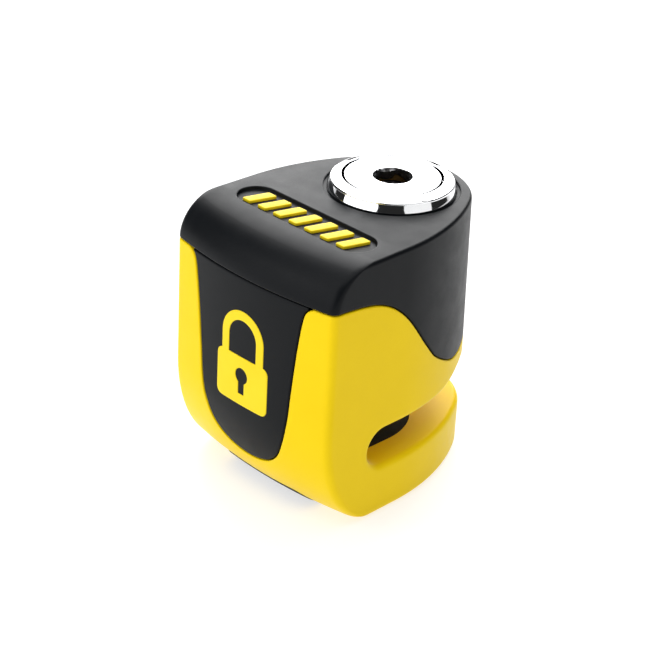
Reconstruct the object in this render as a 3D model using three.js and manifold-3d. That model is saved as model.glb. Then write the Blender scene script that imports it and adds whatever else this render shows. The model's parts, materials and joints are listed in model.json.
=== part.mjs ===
// Alarm disc lock for a motorcycle brake disc: a die-cast housing with a slot for the disc, a plastic hood and
// front panel, and a push-down key barrel that carries the locking pin. Millimetres, +Z up, front face towards -Y.
// The origin is at the middle of the underside.
import * as THREE from "three";
import { mergeVertices } from "three/addons/utils/BufferGeometryUtils.js";
import Module from "manifold-3d";

const wasm = await Module();
wasm.setup();

// ---- Driving dimensions ----
const LENGTH = 58; // front to back
const HALF_WIDTH = 22.5; // at the front corners
const TOP = 59.4; // top face of the hood
const FRONT_SAG = 2.4; // how far the front face bows forward
const NOSE_R = 17.5; // round back end
const SIDE_R = 50; // curve of each side
const SIDE_X = 22.65; // widest point of that curve
const SIDE_TAPER = THREE.MathUtils.degToRad(1); // lean of the straight stretch behind each front corner
const BACK_LEAN = { from: 24, amount: 1.1 }; // the back leans forward by this much, from a height up to the top
const CORNER_R = 1.8; // upright front corners
const TOP_ROLL = { height: 8.5, depth: 10 }; // round edge between top and front
const BOTTOM_ROLL = { height: 23.3, depth: 14.3 }; // round edge between underside and front
const TOP_EDGE_R = 0.8; // small round along the top edge
const BOTTOM_EDGE_R = 1.2; // small round along the bottom edge

const SKIN = 2.3; // thickness of the hood and the front panel
const GAP = 0.3; // parting gap between covers and housing
const HATCH_SKIN = 1.6; // thickness of the hatch under the housing

const SLOT_LOW = 11.4; // slot for the brake disc
const SLOT_HIGH = 19.95;
const SLOT_ROOT_Y = -14.2; // deepest point of the slot
const SLOT_R = (SLOT_HIGH - SLOT_LOW) / 2; // full-round root
const LIP = 1.3; // chamfer round the slot's edges

const AXIS_Y = 11.8; // the barrel's upright axis
const BARREL_R = 10;
const BARREL_LOW = 30.2;
const BARREL_TOP = 61.9;
const TRAVEL = 12.6; // how far the barrel rises when it is unlocked
const BORE_R = 10.3;
const BORE_FLOOR = 24;
const BEZEL_R = 13.5;
const BEZEL_TOP = 62; // at the bore, from where the ring's face slopes down
const BEZEL_RIM = { r: 12.8, z: 61.4 }; // where the face turns over into the ring's shoulder
const BEZEL_SEAT_R = 14.25;
const COLLAR_R = 12.2; // the part of the bezel ring that goes down into the housing
const COLLAR_LOW = 51.2;
const KEYHOLE_R = 4.15;
const PLUG_R = 6;
const PLUG_BORE_R = 6.3;
const PLUG_TOP = 58.7;
const PLUG_LOW = 41;
const KEYWAY_R = 3.7; // the keyway is a round hole with one side filled in
const KEYWAY_FLAT = 1.3;
const DISC_COUNT = 7;
const DISC_THICK = 1.5;
const PIN_R = 3;
const PIN_TIP = 7.35;
const LATCH = { halfWidth: 2.3, low: 34.8, high: 37.6, reach: 2.1 };
const CAM_THROW = 1.63;
const CAM_PIN_R = 0.8;

const SEGMENTS = 40; // sides of a large round piece
const FINE = 18; // sides of a small one

// ---- Geometry helpers ----
const { cos, sin, sqrt, PI, max, min } = Math;

// A closed geometry as a manifold-3d solid, turned to face out if it faces in.
function solid(geometry) {
  const g = geometry.clone();
  g.deleteAttribute("normal");
  g.deleteAttribute("uv");
  const merged = mergeVertices(g, 1e-4);
  const make = (tris) =>
    new wasm.Manifold(
      new wasm.Mesh({ numProp: 3, vertProperties: merged.attributes.position.array, triVerts: tris }),
    );
  const tris = new Uint32Array(merged.index.array);
  const made = make(tris);
  return made.volume() < 0 ? make(tris.slice().reverse()) : made;
}

// A manifold-3d solid as a three.js geometry.
function geometryOf(body) {
  const mesh = body.getMesh();
  const g = new THREE.BufferGeometry();
  g.setAttribute("position", new THREE.BufferAttribute(new Float32Array(mesh.vertProperties), 3));
  g.setIndex(new THREE.BufferAttribute(new Uint32Array(mesh.triVerts), 1));
  g.computeVertexNormals();
  return g;
}

const UPRIGHT = new THREE.Matrix4().makeRotationX(PI / 2);
// Local x, y, z to world Y, Z, X: for an outline drawn in the YZ plane and pulled along X.
const ALONG_X = new THREE.Matrix4().set(0, 0, 1, 0, 1, 0, 0, 0, 0, 1, 0, 0, 0, 0, 0, 1);

// A round bar along +Z from low to high.
function bar(radius, low, high, x = 0, y = 0, sides = FINE) {
  const g = new THREE.CylinderGeometry(radius, radius, high - low, sides);
  return solid(g.applyMatrix4(UPRIGHT).translate(x, y, (low + high) / 2));
}

// A round bar along +Y from y0 to y1.
function barAlongY(radius, y0, y1, x, z, sides = FINE) {
  const g = new THREE.CylinderGeometry(radius, radius, y1 - y0, sides);
  return solid(g.translate(x, (y0 + y1) / 2, z));
}

// A round bar along +X from x0 to x1.
function barAlongX(radius, x0, x1, y, z, sides = FINE) {
  const g = new THREE.CylinderGeometry(radius, radius, x1 - x0, sides);
  return solid(g.rotateZ(PI / 2).translate((x0 + x1) / 2, y, z));
}

// A turned piece about the upright line through (x, y), from [radius, height] pairs that close on themselves.
function turned(pairs, x = 0, y = 0, sides = SEGMENTS) {
  const ring = [...pairs, pairs[0]].map(([r, z]) => new THREE.Vector2(r, z));
  const g = new THREE.LatheGeometry(ring, sides);
  return solid(g.applyMatrix4(UPRIGHT).translate(x, y, 0));
}

function box(x0, x1, y0, y1, z0, z1) {
  const g = new THREE.BoxGeometry(x1 - x0, y1 - y0, z1 - z0);
  return solid(g.translate((x0 + x1) / 2, (y0 + y1) / 2, (z0 + z1) / 2));
}

// A flat outline pulled straight up.
function prism(shape, low, high, curveSegments = 6) {
  const g = new THREE.ExtrudeGeometry(shape, { depth: high - low, bevelEnabled: false, curveSegments });
  return solid(g.translate(0, 0, low));
}

// An outline drawn in the XZ plane, pulled from y0 to y1.
function prismAlongY(shape, y0, y1, curveSegments = 6) {
  const g = new THREE.ExtrudeGeometry(shape, { depth: y1 - y0, bevelEnabled: false, curveSegments });
  return solid(g.applyMatrix4(UPRIGHT).translate(0, y1, 0));
}

// An outline drawn in the YZ plane, pulled from x0 to x1.
function prismAlongX(shape, x0, x1, curveSegments = 8) {
  const g = new THREE.ExtrudeGeometry(shape, { depth: x1 - x0, bevelEnabled: false, curveSegments });
  return solid(g.applyMatrix4(ALONG_X).translate(x0, 0, 0));
}

function roundedRectangle(x0, x1, y0, y1, r) {
  const s = new THREE.Shape();
  s.moveTo(x0 + r, y0);
  s.lineTo(x1 - r, y0);
  s.absarc(x1 - r, y0 + r, r, -PI / 2, 0);
  s.lineTo(x1, y1 - r);
  s.absarc(x1 - r, y1 - r, r, 0, PI / 2);
  s.lineTo(x0 + r, y1);
  s.absarc(x0 + r, y1 - r, r, PI / 2, PI);
  s.lineTo(x0, y0 + r);
  s.absarc(x0 + r, y0 + r, r, PI, 1.5 * PI);
  return s;
}

// The points of an arc from angle a to angle b, both ends included.
function arcPoints(cx, cy, r, a, b, steps) {
  return Array.from({ length: steps + 1 }, (_, i) => {
    const t = a + ((b - a) * i) / steps;
    return new THREE.Vector2(cx + r * cos(t), cy + r * sin(t));
  });
}

// ---- The outer form ----
const FRONT_Y = -LENGTH / 2;
const FRONT_R = (HALF_WIDTH ** 2 / FRONT_SAG + FRONT_SAG) / 2;
const SIDE_CX = SIDE_X - SIDE_R;
const NOSE_Y = LENGTH / 2 - NOSE_R;
const SIDE_CY = NOSE_Y - sqrt((SIDE_R - NOSE_R) ** 2 - SIDE_CX ** 2); // the side runs smoothly into the nose
const NOSE_START = Math.atan2(NOSE_Y - SIDE_CY, -SIDE_CX);

// The plan outline, moved in by inset all round, with its front face set back and its back moved forward.
function planOutline(inset, setback, lean) {
  const normal = new THREE.Vector2(cos(SIDE_TAPER), sin(SIDE_TAPER));
  const forward = new THREE.Vector2(normal.y, -normal.x);
  const cornerR = max(CORNER_R - inset, 0.5);
  const frontR = FRONT_R - inset;
  const frontC = new THREE.Vector2(0, FRONT_Y + FRONT_R + setback);
  // The corner's centre lies cornerR inside the straight side and cornerR inside the front arc.
  const onSide = new THREE.Vector2(SIDE_CX, SIDE_CY - lean).addScaledVector(normal, SIDE_R - inset - cornerR);
  const away = onSide.clone().sub(frontC);
  const along = away.dot(forward);
  const run = -along + sqrt(along ** 2 - away.lengthSq() + (frontR - cornerR) ** 2);
  const corner = onSide.clone().addScaledVector(forward, run);
  const frontEnd = Math.atan2(corner.y - frontC.y, corner.x - frontC.x);
  const half = [
    ...arcPoints(frontC.x, frontC.y, frontR, -PI / 2, frontEnd, 4).slice(0, -1),
    ...arcPoints(corner.x, corner.y, cornerR, frontEnd, SIDE_TAPER, 3),
    ...arcPoints(SIDE_CX, SIDE_CY - lean, SIDE_R - inset, SIDE_TAPER, NOSE_START, 6).slice(0, -1),
    ...arcPoints(0, NOSE_Y - lean, NOSE_R - inset, NOSE_START, PI / 2, 6),
  ];
  const other = half.slice(1, -1).map((p) => new THREE.Vector2(-p.x, p.y)).reverse();
  return [...half, ...other];
}

// How far a round edge of the given size has drawn in at a share (0 to 1) of its height from its end.
const drawnIn = (depth, share) => depth * (1 - sqrt(max(0, 1 - (1 - min(share, 1)) ** 2)));

const backLean = (z) => (BACK_LEAN.amount * max(0, z - BACK_LEAN.from)) / (TOP - BACK_LEAN.from);

// The whole outer form, moved in by offset all round.
function form(offset) {
  const low = offset;
  const high = TOP - offset;
  const bottomH = BOTTOM_ROLL.height - offset;
  const topH = TOP_ROLL.height - offset;
  const bottomEdge = max(BOTTOM_EDGE_R - offset, 0.3);
  const topEdge = max(TOP_EDGE_R - offset, 0.3);
  const steps = [0, 0.2, 0.4, 0.6, 0.8, 1].map((t) => 1 - cos((t * PI) / 2));
  const heights = [
    ...steps.map((s) => low + bottomH * s),
    low + bottomEdge * 0.3,
    low + bottomEdge,
    ...steps.map((s) => high - topH * s),
    high - topEdge * 0.3,
    high - topEdge,
    BACK_LEAN.from,
  ].sort((a, b) => a - b);
  const rings = heights.map((z) => {
    const setback =
      drawnIn(BOTTOM_ROLL.depth - offset, (z - low) / bottomH) + drawnIn(TOP_ROLL.depth - offset, (high - z) / topH);
    const edge = drawnIn(bottomEdge, (z - low) / bottomEdge) + drawnIn(topEdge, (high - z) / topEdge);
    return planOutline(offset + edge, setback, backLean(z)).map((p) => [p.x, p.y, z]);
  });
  return loft(rings);
}

// A closed solid through rings of points that match one for one.
function loft(rings) {
  const count = rings[0].length;
  const positions = rings.flat(2);
  const index = [];
  for (let r = 0; r + 1 < rings.length; r++)
    for (let i = 0; i < count; i++) {
      const a = r * count + i;
      const b = r * count + ((i + 1) % count);
      index.push(a, b, b + count, a, b + count, a + count);
    }
  const last = (rings.length - 1) * count;
  for (let i = 1; i + 1 < count; i++) index.push(0, i + 1, i, last, last + i, last + i + 1);
  const g = new THREE.BufferGeometry();
  g.setAttribute("position", new THREE.Float32BufferAttribute(positions, 3));
  g.setIndex(index);
  return solid(g);
}

const outer = form(0);
const skinInside = form(SKIN);
const housingUnderSkin = form(SKIN + GAP);
const skin = outer.subtract(skinInside);

// ---- Parting lines ----
// The hood's lower edge in side view: level at the front, then down in a lobe beside the barrel, then up at the back.
const HOOD_EDGE = [
  [-32, 50.8],
  [-22.7, 50.8],
  [-13.1, 49.1],
  [-5.9, 44.3],
  [1.5, 35.1],
  [6.4, 30],
  [15, 25.8],
  [24.1, 27.3],
  [31, 35],
].map(([y, z]) => new THREE.Vector2(y, z));

// Everything above the hood's edge, with that edge moved down by drop square to itself.
function aboveHoodEdge(drop) {
  const curve = new THREE.SplineCurve(HOOD_EDGE);
  const steps = 26;
  const points = Array.from({ length: steps + 1 }, (_, i) => {
    const t = i / steps;
    const along = curve.getTangent(t);
    return curve.getPoint(t).add(new THREE.Vector2(along.y, -along.x).multiplyScalar(drop));
  });
  const shape = new THREE.Shape([new THREE.Vector2(-40, points[0].y), ...points, new THREE.Vector2(40, 45)]);
  shape.lineTo(40, 80);
  shape.lineTo(-40, 80);
  return prismAlongX(shape, -30, 30);
}

// The front panel's outline in front view, grown by a margin.
const PANEL_HALF = [
  [18.4, 51],
  [16.6, 50],
  [15.6, 47.8],
  [14.5, 41],
  [13.4, 31],
  [12.7, 24],
  [11.5, 18.7],
  [9.3, 14],
  [5.5, 10.9],
  [0, 9.7],
];

function panelPrism(margin, y0 = -40, y1 = 0) {
  const right = PANEL_HALF.map(([x, z]) => new THREE.Vector2(x, z));
  const left = right.slice(0, -1).map((p) => new THREE.Vector2(-p.x, p.y)).reverse();
  const curve = new THREE.SplineCurve([...right, ...left]);
  const steps = 36;
  const points = Array.from({ length: steps + 1 }, (_, i) => {
    const along = curve.getTangent(i / steps);
    return curve.getPoint(i / steps).add(new THREE.Vector2(along.y, -along.x).multiplyScalar(-margin));
  });
  points.push(new THREE.Vector2(-21, 54), new THREE.Vector2(21, 54));
  return prismAlongY(new THREE.Shape(points), y0, y1);
}

// ---- Named parts ----
const lock = new THREE.Group();
const COLOURS = {
  yellow: [0xf3cf12, 0.42, 0.1],
  black: [0x1c1e22, 0.55, 0],
  rubber: [0x111111, 0.85, 0],
  chrome: [0xf2f2f2, 0.08, 1],
  steel: [0x9a9ea3, 0.35, 1],
  darkSteel: [0x3c3a38, 0.45, 1],
  brass: [0xb08d4c, 0.4, 1],
  board: [0x1f6b3a, 0.6, 0],
  red: [0xb01818, 0.6, 0],
};

function add(name, body, finish) {
  const [color, roughness, metalness] = COLOURS[finish];
  const material = new THREE.MeshStandardMaterial({ color, roughness, metalness });
  const mesh = new THREE.Mesh(geometryOf(body), material);
  mesh.name = name;
  lock.add(mesh);
}

// The slot as a solid, open to the back and to both sides.
function slotCut() {
  const shape = new THREE.Shape();
  shape.moveTo(60, SLOT_LOW);
  shape.lineTo(60, SLOT_HIGH);
  shape.lineTo(SLOT_ROOT_Y + SLOT_R, SLOT_HIGH);
  shape.absarc(SLOT_ROOT_Y + SLOT_R, SLOT_LOW + SLOT_R, SLOT_R, PI / 2, 1.5 * PI);
  return prismAlongX(shape, -40, 40, 7);
}

// The chamfer along one face of the slot, which follows the plan outline from the root backwards.
function lipCut(face, towards) {
  const rings = [
    [face, LIP],
    [face + towards * LIP, 0],
  ];
  rings.sort((p, q) => p[0] - q[0]);
  const kept = loft(rings.map(([z, inset]) => planOutline(inset, 0, 0).map((p) => [p.x, p.y, z])));
  const low = min(face, face + towards * LIP);
  return box(-30, 30, SLOT_ROOT_Y + SLOT_R, 35, low, low + LIP).subtract(kept);
}

// The same chamfer round the root of the slot, at one side.
function rootCut(side) {
  const x = SIDE_X + 0.7;
  const reach = 2.1;
  const g = new THREE.CylinderGeometry(SLOT_R + reach, SLOT_R, reach, FINE);
  g.rotateZ((-side * PI) / 2).translate(side * (x - reach / 2), SLOT_ROOT_Y + SLOT_R, SLOT_LOW + SLOT_R);
  return solid(g).intersect(box(-30, 30, -30, SLOT_ROOT_Y + SLOT_R, 0, 40));
}

const HATCH = { halfWidth: 12.4, front: -22.4, back: 13.2, corner: 3.5 };
const HATCH_SCREWS = [-9.4, 9.4].map((x) => ({ x, y: 9.6 }));
const hatchPrism = (margin, low, high) =>
  prism(
    roundedRectangle(
      -HATCH.halfWidth - margin,
      HATCH.halfWidth + margin,
      HATCH.front - margin,
      HATCH.back + margin,
      HATCH.corner,
    ),
    low,
    high,
    5,
  );

// The pad's outline: straight sides and a round back end. The disc rests on it in the slot.
const PAD = { halfWidth: 15.9, front: -9.2, centreY: -1.5, low: 10.1, high: 11.2 };
function padShape(margin) {
  const r = PAD.halfWidth + margin;
  const s = new THREE.Shape();
  s.moveTo(-r, PAD.front - margin);
  s.lineTo(r, PAD.front - margin);
  s.absarc(0, PAD.centreY, r, 0, PI);
  return s;
}

const POCKET = { halfWidth: 12, back: -4, low: 24, high: 44, lowerBack: -17.2, lowerLow: 9.5 };
const CELL = { r: 5.8, thick: 5.3, low: 2.2, xs: [-6, 6], ys: [-11.2, 0.7] };
const HOOD_TAB = { x: 9, halfWidth: 3, low: 44.8 };

function housing() {
  // Under the hood and the front panel the housing drops to its inner level.
  const covered = aboveHoodEdge(GAP).add(panelPrism(GAP)).subtract(housingUnderSkin);
  let body = outer.subtract(covered);
  body = body.subtract(slotCut()).subtract(lipCut(SLOT_LOW, -1)).subtract(lipCut(SLOT_HIGH, 1));
  body = body.subtract(rootCut(-1)).subtract(rootCut(1));
  body = body.subtract(prism(padShape(0.3), PAD.low - 0.1, SLOT_LOW + 1, 10));
  // Bore for the barrel, with a wider seat for the bezel's collar, and a relief for the latch.
  body = body.subtract(bar(BORE_R, BORE_FLOOR, TOP, 0, AXIS_Y, SEGMENTS));
  body = body.subtract(bar(COLLAR_R + GAP, COLLAR_LOW - GAP, TOP, 0, AXIS_Y, SEGMENTS));
  const reach = AXIS_Y + BARREL_R + LATCH.reach + 0.4;
  const relief = LATCH.halfWidth + 0.3;
  body = body.subtract(box(-relief, relief, AXIS_Y + 5, reach, LATCH.low - GAP, COLLAR_LOW));
  body = body.subtract(bar(5.1, SLOT_HIGH - 1, BORE_FLOOR + 1, 0, AXIS_Y));
  body = body.subtract(bar(PIN_R + 0.4, PIN_TIP - 0.7, SLOT_LOW, 0, AXIS_Y));
  body = body.subtract(barAlongX(STOP_SCREW.r + 0.1, 0, 30, AXIS_Y, STOP_SCREW.z, 16));
  // Room for the alarm behind the front panel, and for the button cells above the hatch.
  const { halfWidth, back, low, high, lowerBack, lowerLow } = POCKET;
  body = body.subtract(box(-halfWidth, halfWidth, -24.5, back, low, high));
  body = body.subtract(box(-halfWidth + 2, halfWidth - 2, -24.5, lowerBack, lowerLow, low + 1));
  const opening = panelPrism(-1.6).intersect(box(-halfWidth, halfWidth, -30, -24, 18, high));
  body = body.subtract(opening);
  body = body.subtract(box(-8, 8, -22.6, lowerBack, 6.2, lowerLow + 1));
  body = body.subtract(hatchPrism(0.2, -1, 9).subtract(form(HATCH_SKIN + 0.25)));
  body = body.subtract(box(-11.9, 11.9, -18.6, 6.8, 1, 8));
  body = body.subtract(box(-8, 8, -18.6, -12.5, 7, 10));
  for (const { x, y } of HATCH_SCREWS) body = body.subtract(bar(1.1, 0, 7, x, y, 12));
  // Seats for the hood's two tabs and their screws.
  for (const side of [-1, 1]) {
    const x = side * HOOD_TAB.x;
    const w = HOOD_TAB.halfWidth + 0.3;
    body = body.subtract(box(x - w, x + w, -30, -24.6, HOOD_TAB.low - 0.3, 56));
    body = body.subtract(barAlongY(0.95, -25, -18.5, x, HOOD_SCREW_Z, 12));
  }
  add("lock_body", body, "yellow");
}

const HOOD_SCREW_Z = 47;
const STOP_SCREW = { r: 1.5, z: 48, tip: 9.2, head: 14.5 };
const BADGE = { y: -12.8, halfLength: 18.3, r: 4.2, depth: 0.7, bars: 7, pitch: 4.5, width: 2.9, slant: 1.7 };

// A slanted bar of the badge, grown by a margin.
function badgeBar(i, margin) {
  const x = (i - (BADGE.bars - 1) / 2) * BADGE.pitch;
  const w = BADGE.width / 2 + margin;
  const h = BADGE.r - 1.1 + margin;
  const s = new THREE.Shape();
  s.moveTo(x - w - BADGE.slant / 2, BADGE.y - h);
  s.lineTo(x + w - BADGE.slant / 2, BADGE.y - h);
  s.lineTo(x + w + BADGE.slant / 2, BADGE.y + h);
  s.lineTo(x - w + BADGE.slant / 2, BADGE.y + h);
  return s;
}

const badgeRecess = roundedRectangle(
  -BADGE.halfLength,
  BADGE.halfLength,
  BADGE.y - BADGE.r,
  BADGE.y + BADGE.r,
  BADGE.r - 0.01,
);

function hood() {
  let body = skin.intersect(aboveHoodEdge(0));
  // The two tabs that reach down behind the front panel.
  for (const side of [-1, 1]) {
    const x = side * HOOD_TAB.x;
    const w = HOOD_TAB.halfWidth;
    let tab = box(x - w, x + w, -26.3, -24.9, HOOD_TAB.low, 53);
    tab = tab.subtract(barAlongY(1.1, -30, -20, x, HOOD_SCREW_Z, 12));
    body = body.add(tab);
  }
  body = body.subtract(bar(COLLAR_R + 0.3, 40, 70, 0, AXIS_Y, SEGMENTS));
  body = body.subtract(bar(BEZEL_SEAT_R, TOP - 0.5, 70, 0, AXIS_Y, SEGMENTS));
  body = body.subtract(prism(badgeRecess, TOP - BADGE.depth, TOP + 1, 8));
  body = body.subtract(box(-17, 17, BADGE.y - 4, BADGE.y + 4, TOP - SKIN - 1, TOP - 1.6));
  for (let i = 0; i < BADGE.bars; i++) body = body.subtract(prism(badgeBar(i, 0.1), TOP - 4, TOP));
  add("top_hood", body, "black");
}

// The badge: a base plate under the hood with bars that stand up through it.
function badge() {
  let body = box(-16.7, 16.7, BADGE.y - 3.7, BADGE.y + 3.7, TOP - SKIN - 0.1, TOP - 1.7);
  for (let i = 0; i < BADGE.bars; i++) body = body.add(prism(badgeBar(i, 0), TOP - 2, TOP - 0.15));
  add("badge_inlay", body, "yellow");
}

// A plain padlock sign, drawn in the XZ plane and grown by a margin.
const SIGN = { z: 32, halfWidth: 7.4, bodyHigh: 33.4, bodyLow: 22.4, shackleR: 5, shackleWide: 2.1, top: 37.6 };
function padlockSign(margin) {
  const s = SIGN;
  const plate = roundedRectangle(
    -s.halfWidth - margin,
    s.halfWidth + margin,
    s.bodyLow - margin,
    s.bodyHigh + margin,
    1.6,
  );
  const outerR = s.shackleR + s.shackleWide / 2 + margin;
  const innerR = s.shackleR - s.shackleWide / 2 - margin;
  const shackle = new THREE.Shape();
  shackle.moveTo(-outerR, s.bodyHigh - 1);
  shackle.lineTo(-innerR, s.bodyHigh - 1);
  shackle.lineTo(-innerR, s.top);
  shackle.absarc(0, s.top, innerR, PI, 0, true);
  shackle.lineTo(innerR, s.bodyHigh - 1);
  shackle.lineTo(outerR, s.bodyHigh - 1);
  shackle.lineTo(outerR, s.top);
  shackle.absarc(0, s.top, outerR, 0, PI);
  return [plate, shackle];
}

const signPrism = (margin) => {
  const [plate, shackle] = padlockSign(margin).map((s) => prismAlongY(s, -40, 0, 6));
  return plate.add(shackle);
};

const SIGN_DEPTH = 0.9;
function frontPanel() {
  let body = skin.intersect(panelPrism(0)).subtract(aboveHoodEdge(GAP));
  // Thin behind the hood's tabs, and a snap rib inside the housing's opening.
  body = body.subtract(box(-12.6, 12.6, -27.4, -20, HOOD_TAB.low - 0.6, 54));
  const rib = box(-8, 8, -27.5, -22.5, 20, 21.4).intersect(form(1.5));
  body = body.add(rib);
  body = body.subtract(signPrism(0.12).subtract(form(SIGN_DEPTH)));
  add("front_panel", body, "black");
}

function frontSign() {
  const keyhole = barAlongY(1.7, -40, 0, 0, 28.8, 16).add(box(-0.8, 0.8, -40, 0, 25.2, 28.8));
  const layer = outer.subtract(form(SIGN_DEPTH - 0.1));
  add("front_sign", signPrism(0).subtract(keyhole).intersect(layer), "yellow");
}

function bezel() {
  const body = turned(
    [
      [BORE_R, COLLAR_LOW],
      [COLLAR_R, COLLAR_LOW],
      [COLLAR_R, TOP - 0.4],
      [BEZEL_R, TOP - 0.4],
      [BEZEL_R, BEZEL_RIM.z - 1.1],
      [BEZEL_R - 0.25, BEZEL_RIM.z - 0.45],
      [BEZEL_RIM.r, BEZEL_RIM.z],
      [BORE_R + 0.2, BEZEL_TOP],
      [BORE_R, BEZEL_TOP - 0.2],
      [BORE_R, 57.2],
      [BORE_R + 0.7, 57],
      [BORE_R + 0.7, 55.6],
      [BORE_R, 55.4],
    ],
    0,
    AXIS_Y,
  );
  add("bezel_ring", body, "chrome");
  const seal = turned(
    arcPoints(BARREL_R + 0.55, 56.3, 0.45, 0, 2 * PI, 6)
      .slice(0, -1)
      .map((p) => [p.x, p.y]),
    0,
    AXIS_Y,
  );
  add("barrel_seal", seal, "rubber");
}

// The push-down barrel: keyhole in its face, a bore behind it for the plug, and a groove for the stop screw.
function barrel() {
  let body = turned(
    [
      [PLUG_BORE_R, BARREL_LOW],
      [BARREL_R - 0.4, BARREL_LOW],
      [BARREL_R, BARREL_LOW + 0.4],
      [BARREL_R, BARREL_TOP - 0.4],
      [BARREL_R - 0.4, BARREL_TOP],
      [KEYHOLE_R + 0.3, BARREL_TOP],
      [KEYHOLE_R, BARREL_TOP - 0.3],
      [KEYHOLE_R, PLUG_TOP + 0.3],
      [PLUG_BORE_R, PLUG_TOP + 0.3],
    ],
    0,
    AXIS_Y,
  );
  const grooveLow = STOP_SCREW.z - TRAVEL - STOP_SCREW.r - 0.1;
  const w = STOP_SCREW.r + 0.2;
  body = body.subtract(
    box(STOP_SCREW.tip - 0.3, 12, AXIS_Y - w, AXIS_Y + w, grooveLow, STOP_SCREW.z + STOP_SCREW.r + 0.3),
  );
  const lw = LATCH.halfWidth + 0.3;
  body = body.subtract(box(-lw, lw, AXIS_Y + 4, AXIS_Y + 12, LATCH.low - 0.3, LATCH.high + 0.3));
  body = body.subtract(barAlongY(ROLL_PIN.r + 0.1, AXIS_Y - 12, AXIS_Y + 12, 0, ROLL_PIN.z, 12));
  body = body.subtract(barAlongY(1.3, AXIS_Y - 12, AXIS_Y - 7.7, 0, 36, 12));
  add("lock_barrel", body, "chrome");
}

const ROLL_PIN = { r: 0.9, z: 32.2, half: 9.6 };

// The keyway, a round hole with one side filled in, on the barrel's axis.
function keyway(radius, low, high) {
  const start = Math.acos(KEYWAY_FLAT / radius);
  const shape = new THREE.Shape(arcPoints(0, AXIS_Y, radius, start, 2 * PI - start, 12));
  return prism(shape, low, high);
}

// The plug is a cage that holds the detainer discs. Its cam pin drives the latch.
function plug() {
  let body = bar(PLUG_R, PLUG_LOW, PLUG_TOP, 0, AXIS_Y, 32);
  body = body.subtract(bar(PLUG_R - 0.9, PLUG_LOW + 2, PLUG_TOP - 1.6, 0, AXIS_Y, 32));
  body = body.subtract(keyway(KEYWAY_R, PLUG_TOP - 2, PLUG_TOP + 1));
  body = body.subtract(box(-SIDEBAR.half, SIDEBAR.half, AXIS_Y, AXIS_Y + 8, PLUG_LOW + 2, PLUG_TOP - 1.6));
  const camX = CAM_THROW * cos(PI / 4);
  body = body.add(bar(CAM_PIN_R, LATCH.high - 1.2, PLUG_LOW + 0.5, camX, AXIS_Y + camX, 12));
  add("key_plug", body, "darkSteel");
}

const SIDEBAR = { half: 0.9 };
function sidebar() {
  const w = SIDEBAR.half - 0.15;
  const body = box(-w, w, AXIS_Y + 5.05, AXIS_Y + 5.9, PLUG_LOW + 2.4, PLUG_TOP - 2);
  add("sidebar", body, "brass");
}

// Each disc has the same keyway and its own gate in the rim.
function detainerDiscs() {
  const room = PLUG_TOP - 1.6 - (PLUG_LOW + 2);
  const pitch = room / DISC_COUNT;
  const gates = [20, 65, 125, 40, 200, 160, 290];
  for (let i = 0; i < DISC_COUNT; i++) {
    const high = PLUG_TOP - 1.6 - i * pitch - (pitch - DISC_THICK) / 2;
    const low = high - DISC_THICK;
    let body = bar(PLUG_R - 1.1, low, high, 0, AXIS_Y, 24);
    body = body.subtract(keyway(KEYWAY_R - 0.1, low - 1, high + 1));
    const a = THREE.MathUtils.degToRad(gates[i]);
    const r = PLUG_R - 1.1;
    body = body.subtract(bar(0.45, low - 1, high + 1, r * cos(a), AXIS_Y + r * sin(a), 6));
    add(`detainer_disc_${i + 1}`, body, "brass");
  }
}

// The carrier closes the barrel from below, guides the latch and holds the locking pin.
function pinCarrier() {
  let body = bar(PLUG_BORE_R - 0.2, BARREL_LOW, 38.6, 0, AXIS_Y, 32);
  body = body.subtract(bar(PIN_R + 0.12, BARREL_LOW - 1, 34.1, 0, AXIS_Y));
  const w = LATCH.halfWidth + 0.15;
  body = body.subtract(box(-w, w, AXIS_Y - 5, AXIS_Y + 9, LATCH.low - 0.15, LATCH.high + 0.15));
  body = body.subtract(bar(3.1, LATCH.high - 0.5, 40, 0, AXIS_Y));
  body = body.subtract(barAlongY(ROLL_PIN.r + 0.1, AXIS_Y - 12, AXIS_Y + 12, 0, ROLL_PIN.z, 12));
  add("pin_carrier", body, "steel");
  const washer = turned(
    [
      [3.3, 39],
      [PLUG_BORE_R - 0.2, 39],
      [PLUG_BORE_R - 0.2, 40.6],
      [3.3, 40.6],
    ],
    0,
    AXIS_Y,
    32,
  );
  add("plug_washer", washer, "steel");
  const { r, z, half } = ROLL_PIN;
  add("roll_pin", barAlongY(r, AXIS_Y - half, AXIS_Y + half, 0, z, 12), "steel");
}

function lockingPin() {
  let body = turned(
    [
      [0, PIN_TIP],
      [PIN_R - 0.8, PIN_TIP],
      [PIN_R, PIN_TIP + 0.9],
      [PIN_R, 34],
      [0, 34],
    ],
    0,
    AXIS_Y,
    FINE,
  );
  body = body.subtract(barAlongY(ROLL_PIN.r + 0.1, AXIS_Y - 12, AXIS_Y + 12, 0, ROLL_PIN.z, 12));
  add("locking_pin", body, "steel");
}

function latch() {
  const { halfWidth, low, high, reach } = LATCH;
  let body = box(-halfWidth, halfWidth, AXIS_Y - 2.2, AXIS_Y + BARREL_R + reach, low, high);
  const camX = CAM_THROW * cos(PI / 4);
  const slack = CAM_PIN_R + 0.3;
  body = body.subtract(box(-0.1, 2.9, AXIS_Y + camX - slack, AXIS_Y + camX + slack, high - 1.5, high + 1));
  add("latch_bolt", body, "steel");
}

// An upright coil spring about the barrel's axis, from low to high.
function coil(low, high, radius, wire, turns, perTurn) {
  const points = Array.from({ length: turns * perTurn + 1 }, (_, i) => {
    const t = i / (turns * perTurn);
    const w = 2 * PI * turns * t;
    const z = low + wire + (high - low - 2 * wire) * t;
    return new THREE.Vector3(radius * cos(w), AXIS_Y + radius * sin(w), z);
  });
  return tube(new THREE.CatmullRomCurve3(points), wire, turns * perTurn, 6);
}

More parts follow.
